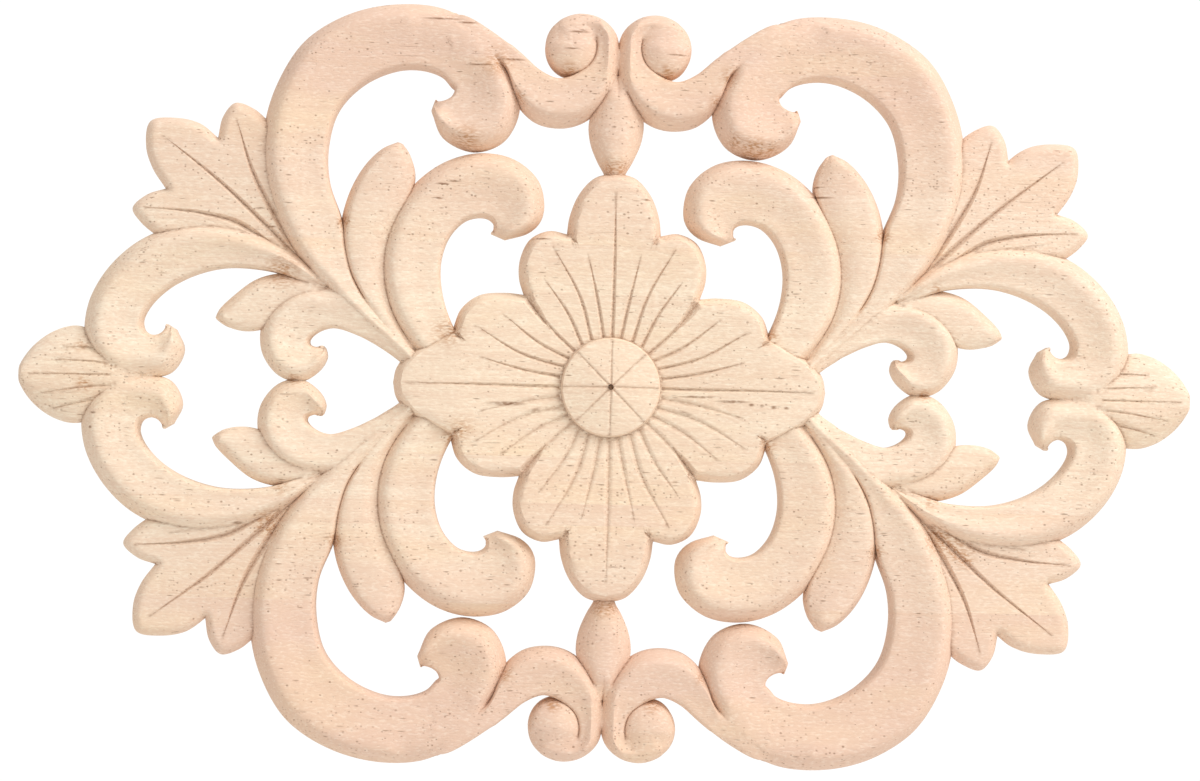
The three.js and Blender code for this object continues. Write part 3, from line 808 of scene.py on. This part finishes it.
def inside_box(piece, box):
    """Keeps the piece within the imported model's box."""
    for axis in (0, 1, 2):
        reach = [vertex.co[axis] for vertex in piece.data.vertices]
        low = box[0][axis] / min(reach) if min(reach) < 0 else 1
        high = box[1][axis] / max(reach) if max(reach) > 1e-6 else 1
        for vertex in piece.data.vertices:
            vertex.co[axis] *= low if vertex.co[axis] < 0 else high


noise.seed_set(11)
by_hand(onlay)
inside_box(onlay, CAD_BOX)
in_edit_mode(onlay, clear_back)

# %% [markdown]
# Painted shade and dust in the seams
#
# Where two forms meet in a valley, and along the bottom of each vein, the colour is
# darkened: this is painted shade in the creases, together with the dust and end grain
# there. The script finds those edges by their angle and stores how near each point is
# to one. A sharper valley counts for more, and a sanded root for less. The material
# reads the result as an attribute.

# %% Marking the seams
SEAM_REACH = 0.55 * MM
# FLATTEST and SHARPEST bound the painted shade and dust in the seams: below the first angle there is none, at
# the second it is full.
FLATTEST, SHARPEST = 16, 76  # degrees: below the first there is no dust, at the second it is full


def mark_seams(piece):
    mesh = bmesh.new()
    mesh.from_mesh(piece.data)
    mesh.normal_update()
    spots = []
    for edge in mesh.edges:
        if len(edge.link_faces) != 2:
            continue
        angle = -math.degrees(edge.calc_face_angle_signed(0))
        if angle > FLATTEST and max(v.co.y for v in edge.verts) < -EDGE * 0.6 * MM:
            cuts = max(1, round(edge.calc_length() / (0.4 * MM)))
            a, b = (v.co for v in edge.verts)
            strength = min(1, (angle - FLATTEST) / (SHARPEST - FLATTEST))
            spots += [(a.lerp(b, k / cuts), strength) for k in range(cuts + 1)]
    tree = kdtree.KDTree(len(spots))
    for i, (spot, _) in enumerate(spots):
        tree.insert(spot, i)
    tree.balance()
    seam_shade_and_dust = piece.data.attributes.new("seam_shade_and_dust", "FLOAT", "POINT")
    for vertex in mesh.verts:
        near = tree.find_range(vertex.co, SEAM_REACH)
        depth = max((spots[i][1] * (1 - d / SEAM_REACH) for _, i, d in near), default=0)
        seam_shade_and_dust.data[vertex.index].value = depth * (1 - blended(vertex.co))
    mesh.free()
    return len(spots)


print(mark_seams(onlay), "spots along the seams")

# %% [markdown]
# Torn grain, and painted shade in the pits
#
# Across the grain the tool tears the fibres and leaves them frayed and brown: inside the
# tight curls and at the necks of the drops. In the pits where forms meet the same brown
# is also painted shade. The places are named one by one, each with its reach, and stored
# as a second attribute. Points near the flat back are passed over, because its few faces
# would carry the brown far.

# %% Where the grain is torn, and where shade is painted in the pits
# x, z and reach in mm on the finished board, and how strong it is.
TORN_AND_SHADED_EVERYWHERE = [(68.8, 40.5, 2.4, 1), (80.5, 0, 2.2, 0.8), (40.4, 13.8, 2.6, 0.9), (12.6, 80.6, 2.6, 0.9)]
TORN_AND_SHADED_EVERYWHERE += [(25, 73.5, 2.4, 0.6), (1, 56, 3.2, 0.7), (83, 27.2, 2.6, 0.6)]
TORN_AND_SHADED_ONCE = [
    (35, 61.4, 4.6, 1), (39.5, 61.5, 3.4, 0.7), (30.5, 63.4, 3, 0.6), (-41.5, 13.2, 5.5, 0.6),
    (-38, -11.8, 4.5, 0.6), (-84, 27.2, 5.5, 0.8), (-86, -36.5, 4.5, 0.9), (-133, -2.4, 2.5, 0.9),
    (28, 80, 3, 0.6), (-134, 7.5, 2.5, 0.5), (-30.8, 82, 5, 0.6), (-38, 62, 5, 0.7),
    (85, -36.7, 4.5, 1), (89, -39, 4, 1), (92, -41.3, 3.5, 0.8),
]


def mark_torn_and_shaded(piece):
    torn_and_shaded = piece.data.attributes.new("torn_and_shaded", "FLOAT", "POINT")
    for vertex in piece.data.vertices:
        if vertex.co.y > -0.5 * EDGE * MM:
            continue
        x, z = vertex.co.x / MM, vertex.co.z / MM
        spots = [(math.hypot(abs(x) - a, abs(z) - b), reach, most) for a, b, reach, most in TORN_AND_SHADED_EVERYWHERE]
        spots += [(math.hypot(x - a, z - b), reach, most) for a, b, reach, most in TORN_AND_SHADED_ONCE]
        torn_and_shaded.data[vertex.index].value = max(most * max(0, 1 - off / reach) for off, reach, most in spots)


mark_torn_and_shaded(onlay)
print(len(TORN_AND_SHADED_EVERYWHERE) * 4 + len(TORN_AND_SHADED_ONCE), "places with torn grain")

# %% Soft and sharp edges
bpy.ops.object.select_all(action="DESELECT")
onlay.select_set(True)
bpy.context.view_layer.objects.active = onlay
bpy.ops.object.shade_smooth_by_angle(angle=math.radians(32))

# %% [markdown]
# Node helpers
#
# A material is a chain of small nodes. These helpers add one node each and return the
# socket that it puts out, so that a finish reads as a few short sums.

# %% Small helpers for nodes
def colour(red, green, blue):
    """A screen colour, 0 to 255, as the linear colour that Blender mixes."""
    shares = [value / 255 for value in (red, green, blue)]
    return (*[c / 12.92 if c <= 0.04 else ((c + 0.055) / 1.055) ** 2.4 for c in shares], 1)


def feed(tree, socket, value):
    if isinstance(value, bpy.types.NodeSocket):
        tree.links.new(value, socket)
    else:
        socket.default_value = value


def mixed(tree, factor, first, second, how="MIX"):
    node = tree.nodes.new("ShaderNodeMix")
    node.data_type = "RGBA"
    node.blend_type = how
    feed(tree, node.inputs[0], factor)
    feed(tree, node.inputs[6], first)
    feed(tree, node.inputs[7], second)
    return node.outputs[2]


def sums(tree, operation, *values, clamp=False):
    node = tree.nodes.new("ShaderNodeMath")
    node.operation = operation
    node.use_clamp = clamp
    for socket, value in zip(node.inputs, values):
        feed(tree, socket, value)
    return node.outputs[0]


def ranged(tree, value, low, high, to_low=0.0, to_high=1.0):
    node = tree.nodes.new("ShaderNodeMapRange")
    for socket, number in zip(node.inputs, (value, low, high, to_low, to_high)):
        feed(tree, socket, number)
    return node.outputs[0]


def stretched(tree, vector, per_metre):
    """The coordinates scaled to so many units a metre along x, y and z."""
    node = tree.nodes.new("ShaderNodeMapping")
    feed(tree, node.inputs["Vector"], vector)
    node.inputs["Scale"].default_value = per_metre
    return node.outputs[0]


def cloud(tree, vector, per_metre, detail=2.0):
    node = tree.nodes.new("ShaderNodeTexNoise")
    feed(tree, node.inputs["Vector"], stretched(tree, vector, per_metre))
    node.inputs["Scale"].default_value = 1
    node.inputs["Detail"].default_value = detail
    return node.outputs[0]


# %% [markdown]
# The grain of pale wood
#
# The board is glued up from strips of a pale, open-pored wood. The grain runs along x.
# Three things make the figure: slow bands of growth, fine fibres, and pores. A pore is
# a thin channel, so it is a short dash where the surface lies along the grain and a dot
# where a slope cuts across it. Cells drawn out along x give both without any painting. Only
# the few marks that catch the eye on the real board are put in their own places.

# %% The grain as a node group
def add_output(group, name, kind="NodeSocketFloat"):
    group.interface.new_socket(name=name, in_out="OUTPUT", socket_type=kind)


GLUE_LINES = [-56.0, -35.6, -30.0, -18.4, 35.3, 80.6]
STRIP_TONES = [0.50, 0.40, 0.48, 0.40, 0.32, 0.40, 0.44]
HALF_RAMP = 0.1
# The darkest marks along the grain: x, z, half the length and half the width, in mm.
MARKS = [
    (35.8, -3.5, 0.9, 0.5), (38.5, -3.7, 0.7, 0.5), (41.5, -4.0, 1.0, 0.6), (44.8, -4.1, 0.9, 0.5),
    (22, -1.8, 6, 0.4), (31, -2.8, 5, 0.5), (-26.5, -4.7, 6, 0.7), (-18.5, 37.3, 3, 0.35),
    (52.4, 50, 4, 0.35), (51, 52.6, 3, 0.3), (-41, 51.4, 2.2, 0.4), (-44, 50.6, 2.2, 0.4), (-45, 47, 2, 0.35),
    (-130.3, -9.5, 0.9, 0.4), (-131, -13.2, 0.6, 0.45), (-133.4, -19, 0.6, 0.45), (-81.7, -10.7, 0.5, 0.35),
    (-93.4, -36.5, 1.8, 0.5), (-10.3, 90.4, 3.2, 0.4), (-12, 86, 2.4, 0.3), (15, 85.2, 3.4, 0.3),
    (-0.8, 66.4, 0.8, 0.4), (3.8, 66.5, 0.8, 0.4), (7.8, 47.9, 1.8, 0.35), (-45, 92.6, 6, 0.4),
    (-39, 91.8, 4, 0.35), (-35, 81.2, 5, 0.35), (-27, 82.8, 4, 0.4), (-87, 38.7, 1.4, 0.35),
    (-90, 43.3, 1.5, 0.35), (-80.7, -0.1, 1.6, 0.5), (80.6, 0, 1.6, 0.5),
]


def make_grain():
    group = bpy.data.node_groups.new("grain of the board", "ShaderNodeTree")
    for name in ("Tone", "Honey", "Figure", "Streak", "Fibre", "Speck", "Pore", "Glue", "Mark"):
        add_output(group, name)
    nodes = group.nodes
    here = nodes.new("ShaderNodeTexCoord").outputs["Object"]
    place_of = nodes.new("ShaderNodeSeparateXYZ")
    feed(group, place_of.inputs[0], here)
    up = place_of.outputs["Z"]

    ramp = nodes.new("ShaderNodeValToRGB")
    ramp.color_ramp.interpolation = "CONSTANT"
    feed(group, ramp.inputs[0], ranged(group, up, -HALF_RAMP, HALF_RAMP))
    steps = ramp.color_ramp.elements
    steps[0].color = (STRIP_TONES[0],) * 3 + (1,)
    steps[1].position = 0.5 + GLUE_LINES[0] * MM / (2 * HALF_RAMP)
    steps[1].color = (STRIP_TONES[1],) * 3 + (1,)
    for line, tone in zip(GLUE_LINES[1:], STRIP_TONES[2:]):
        steps.new(0.5 + line * MM / (2 * HALF_RAMP)).color = (tone,) * 3 + (1,)
    strip = ramp.outputs[0]

    glue = 0.0
    for line in GLUE_LINES:
        off = sums(group, "ABSOLUTE", sums(group, "SUBTRACT", up, line * MM))
        glue = sums(group, "MAXIMUM", glue, ranged(group, off, 0.35 * MM, 0.05 * MM))

    shift = nodes.new("ShaderNodeVectorMath")
    shift.operation = "MULTIPLY_ADD"
    feed(group, shift.inputs[0], strip)
    shift.inputs[1].default_value = (0.37, 0.11, 0.05)
    feed(group, shift.inputs[2], here)
    grown = shift.outputs[0]

    bands = cloud(group, grown, (7, 90, 130), 3)
    streaks = cloud(group, grown, (16, 480, 800), 3)
    fibres = cloud(group, grown, (170, 2400, 2400), 3)
    specks = cloud(group, grown, (760, 2300, 2300), 3)
    blotches = cloud(group, grown, (18, 40, 40), 2)
    crowd = cloud(group, grown, (22, 60, 60), 2)
    patches = cloud(group, grown, (24, 55, 75), 3)

    def pores(per_metre, few, many, small, large):
        """Cells along the grain: a few of them are open, each with its own size."""
        cells = nodes.new("ShaderNodeTexVoronoi")
        feed(group, cells.inputs["Vector"], stretched(group, grown, per_metre))
        cells.inputs["Scale"].default_value = 1
        drawn = nodes.new("ShaderNodeSeparateColor")
        feed(group, drawn.inputs[0], cells.outputs["Color"])
        level = ranged(group, crowd, 0.42, 0.62, 1 - few, 1 - many)
        is_open = sums(group, "GREATER_THAN", drawn.outputs[0], level)
        reach = ranged(group, drawn.outputs[1], 0, 1, small, large)
        core = sums(group, "DIVIDE", cells.outputs["Distance"], reach)
        darkness = ranged(group, drawn.outputs[2], 0, 1, 0.35, 1)
        depth = sums(group, "MULTIPLY", ranged(group, core, 1, 0.4), darkness)
        return sums(group, "MULTIPLY", is_open, depth)

    dots = pores((950, 1250, 1250), 0.07, 0.5, 0.16, 0.44)
    dashes = pores((260, 1700, 1700), 0.04, 0.2, 0.16, 0.44)
    long_lines = pores((55, 1300, 1300), 0.01, 0.09, 0.12, 0.34)
    faint_lines = sums(group, "MULTIPLY", long_lines, 0.7)
    pore = sums(group, "MAXIMUM", sums(group, "MAXIMUM", dots, dashes), faint_lines)

    mark = 0.0
    for x, z, half_length, half_width in MARKS:
        per_metre = Vector((1 / half_length, 0, 1 / half_width)) / MM
        near = nodes.new("ShaderNodeMapping")
        feed(group, near.inputs["Vector"], here)
        near.inputs["Scale"].default_value = per_metre
        near.inputs["Location"].default_value = -Vector((x, 0, z)) * MM * per_metre
        off = nodes.new("ShaderNodeVectorMath")
        off.operation = "LENGTH"
        feed(group, off.inputs[0], near.outputs[0])
        mark = sums(group, "MAXIMUM", mark, ranged(group, off.outputs["Value"], 1, 0.3))
    on_front = ranged(group, place_of.outputs["Y"], -3.5 * MM, -4.2 * MM)
    mark = sums(group, "MULTIPLY", mark, on_front)

    span = nodes.new("ShaderNodeVectorMath")
    span.operation = "LENGTH"
    feed(group, span.inputs[0], here)
    yellower = ranged(group, span.outputs["Value"], 75 * MM, 20 * MM, 0, 0.4)

    out = nodes.new("NodeGroupOutput")
    from_middle = ranged(group, sums(group, "ABSOLUTE", up), 15 * MM, 85 * MM, -0.35, 0.7)
    from_left = ranged(group, place_of.outputs["X"], -150 * MM, -70 * MM, -0.5, 0)
    tone = sums(group, "ADD", strip, ranged(group, blotches, 0.3, 0.7, -0.2, 0.2))
    tone = sums(group, "ADD", tone, from_left)
    feed(group, out.inputs["Tone"], sums(group, "ADD", tone, from_middle))
    feed(group, out.inputs["Honey"], sums(group, "ADD", ranged(group, patches, 0.48, 0.72), yellower))
    feed(group, out.inputs["Figure"], ranged(group, bands, 0.3, 0.7))
    feed(group, out.inputs["Streak"], ranged(group, streaks, 0.32, 0.68))
    feed(group, out.inputs["Fibre"], ranged(group, fibres, 0.3, 0.7))
    feed(group, out.inputs["Speck"], ranged(group, specks, 0.34, 0.7))
    feed(group, out.inputs["Pore"], pore)
    feed(group, out.inputs["Glue"], glue)
    feed(group, out.inputs["Mark"], mark)
    return group


grain_group = make_grain()
print("the grain puts out", [s.name for s in grain_group.interface.items_tree])

# %% [markdown]
# The finish of the board
#
# Raw wood has no polish: it is cream and honey round the flower, rosier in the outer
# strips, darker where a slope cuts the grain, and brown where the grain is torn. The
# bottom of each cut and the creases between forms are darkened with painted shade and
# the dust there, and the pits where forms meet get painted shade in the torn grain's
# brown. Each row of the list below lays one colour over the last, real stains and
# painted shade alike. Roughness stays high, and the relief of fibres and pores is too
# fine for mesh, so it is bump.

# %% Raw wood
CREAM = colour(249, 236, 212)
ROSE = colour(233, 202, 183)
END_GRAIN = colour(223, 187, 161)
HONEY = colour(251, 225, 182)
PALE = colour(255, 240, 220)
# Dark brown for the pores and marks, and also for the painted shade in the seams.
DUST_AND_SHADE = colour(128, 84, 52)
# Orange brown of torn grain, also used as painted shade in the pits where forms meet.
FRAYED_AND_SHADED = colour(178, 120, 68)


def make_raw_wood():
    material = bpy.data.materials.new("raw pale wood")
    material.use_nodes = True
    tree = material.node_tree
    shader = tree.nodes["Principled BSDF"]
    grain = tree.nodes.new("ShaderNodeGroup")
    grain.node_tree = grain_group
    tone, honey, figure, streak, fibre, speck, pore, glue, mark = (
        grain.outputs[item.name] for item in grain_group.interface.items_tree
    )

    slope = tree.nodes.new("ShaderNodeSeparateXYZ")
    feed(tree, slope.inputs[0], tree.nodes.new("ShaderNodeNewGeometry").outputs["Normal"])
    across = ranged(tree, sums(tree, "ABSOLUTE", slope.outputs["X"]), 0.15, 0.95)

    seam_shade_and_dust = tree.nodes.new("ShaderNodeAttribute")
    seam_shade_and_dust.attribute_name = "seam_shade_and_dust"

    # The seam mask, broken up by specks, is painted shade in the creases, with dust.
    seam_speckle = ranged(tree, speck, 0.1, 0.9, 0.4, 1)
    crease_shade_and_dust = sums(tree, "MULTIPLY", ranged(tree, seam_shade_and_dust.outputs["Fac"], 0.1, 0.9), seam_speckle)
    # The torn mask is torn grain, and in the pits between forms it is painted shade.
    torn_and_shaded = tree.nodes.new("ShaderNodeAttribute")
    torn_and_shaded.attribute_name = "torn_and_shaded"
    tufts = ranged(tree, speck, 0.25, 0.75, 0.2, 1)
    frayed_and_shaded = sums(tree, "MULTIPLY", ranged(tree, torn_and_shaded.outputs["Fac"], 0, 0.6), tufts)
    marked = sums(tree, "MULTIPLY", mark, ranged(tree, speck, 0, 0.6, 0.5, 1))

    wood = mixed(tree, tone, CREAM, ROSE)
    for mask, share, stain in (
        (honey, 0.45, HONEY),
        (figure, 0.30, END_GRAIN),
        (across, 0.35, END_GRAIN),
        (streak, 0.36, END_GRAIN),
        (fibre, 0.34, END_GRAIN),
        (speck, 0.36, END_GRAIN),
        (ranged(tree, speck, 0.35, 0), 0.25, PALE),
        (glue, 0.25, END_GRAIN),
        (pore, 0.60, DUST_AND_SHADE),
        (marked, 0.80, DUST_AND_SHADE),
        # torn grain in orange brown, which in the pits is also painted shade
        (frayed_and_shaded, 0.75, FRAYED_AND_SHADED),
        # painted shade in the creases and vein bottoms, with dust, in dark brown
        (crease_shade_and_dust, 0.55, DUST_AND_SHADE),
    ):
        wood = mixed(tree, sums(tree, "MULTIPLY", mask, share), wood, stain)
    feed(tree, shader.inputs["Base Color"], wood)
    feed(tree, shader.inputs["Roughness"], ranged(tree, fibre, 0, 1, 0.72, 0.86))
    shader.inputs["Specular IOR Level"].default_value = 0.3

    relief = sums(tree, "ADD", sums(tree, "MULTIPLY", fibre, 0.4), sums(tree, "MULTIPLY", speck, 0.5))
    depth = sums(tree, "SUBTRACT", relief, pore)
    bump = tree.nodes.new("ShaderNodeBump")
    bump.inputs["Strength"].default_value = 0.8
    bump.inputs["Distance"].default_value = 0.12 * MM
    feed(tree, bump.inputs["Height"], depth)
    feed(tree, shader.inputs["Normal"], bump.outputs[0])
    return material


onlay.data.materials.clear()
onlay.data.materials.append(make_raw_wood())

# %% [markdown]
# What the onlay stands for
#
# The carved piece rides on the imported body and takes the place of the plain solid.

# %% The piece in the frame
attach(onlay, "root")
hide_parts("onlay")

# %% [markdown]
# The studio
#
# The onlay hangs upright against plain white, above a plain pale floor, in soft light.
# A broad lamp stands up and to the right, so the slopes that face it are bright and
# those that face down and left are in mild shade. The world fills in the rest evenly.

# %% Floor and light
FLOOR_Z = -0.25
FILL, BACKDROP = 0.77, 1.05  # the white studio, as it lights the wood and as the camera sees it
bpy.ops.object.select_all(action="DESELECT")
bpy.ops.mesh.primitive_plane_add(size=1.2, location=(0, -0.1, FLOOR_Z))
floor = bpy.context.object
floor.name = "floor"
pale = bpy.data.materials.new("pale floor")
pale.use_nodes = True
pale.node_tree.nodes["Principled BSDF"].inputs["Base Color"].default_value = colour(240, 240, 238)
pale.node_tree.nodes["Principled BSDF"].inputs["Roughness"].default_value = 0.9
floor.data.materials.append(pale)

world = bpy.data.worlds.new("white studio")
bpy.context.scene.world = world
world.use_nodes = True
sky = world.node_tree
background = sky.nodes["Background"]
background.inputs["Color"].default_value = (1, 1, 1, 1)
seen = sky.nodes.new("ShaderNodeLightPath").outputs["Is Camera Ray"]
feed(sky, background.inputs["Strength"], ranged(sky, seen, 0, 1, FILL, BACKDROP))


def lamp(name, place_at, size, watts):
    """A soft square lamp that shines at the middle of the onlay."""
    bpy.ops.object.light_add(type="AREA", location=place_at)
    light = bpy.context.object
    light.name = name
    light.data.size = size
    light.data.energy = watts
    light.rotation_mode = "QUATERNION"
    light.rotation_quaternion = Vector(place_at).to_track_quat("Z", "Y")


lamp("window", (0.75, -0.55, 0.85), size=0.7, watts=11.5)
bpy.context.scene.view_settings.view_transform = "Standard"

# %% [markdown]
# The camera
#
# The photograph was taken nearly square on, with a long lens. The four mirrored quarters
# tell where it stood: the right half is a little smaller than the left, and the axes
# lean by a degree and a half. The camera is put there, and turned about its own axis.

# %% Camera
LENS = 72
DISTANCE = 613.75 * MM
AIM = Vector((-2.56, -EDGE, -0.72)) * MM
YAW, PITCH, ROLL = (math.radians(a) for a in (-2.393, -0.863, 1.432))
back = Vector((math.sin(YAW) * math.cos(PITCH), -math.cos(YAW) * math.cos(PITCH), math.sin(PITCH)))
bpy.ops.object.camera_add(location=AIM + back * DISTANCE)
camera = bpy.context.object
camera.data.lens = LENS
camera.data.sensor_width = 36
camera.rotation_mode = "QUATERNION"
turned = back.to_track_quat("Z", "Y").to_matrix().to_4x4()
camera.rotation_quaternion = (turned @ Matrix.Rotation(ROLL, 4, "Z")).to_quaternion()
camera.data.clip_start = 0.01
bpy.context.scene.camera = camera
print("the camera is at", [round(c, 4) for c in camera.location])
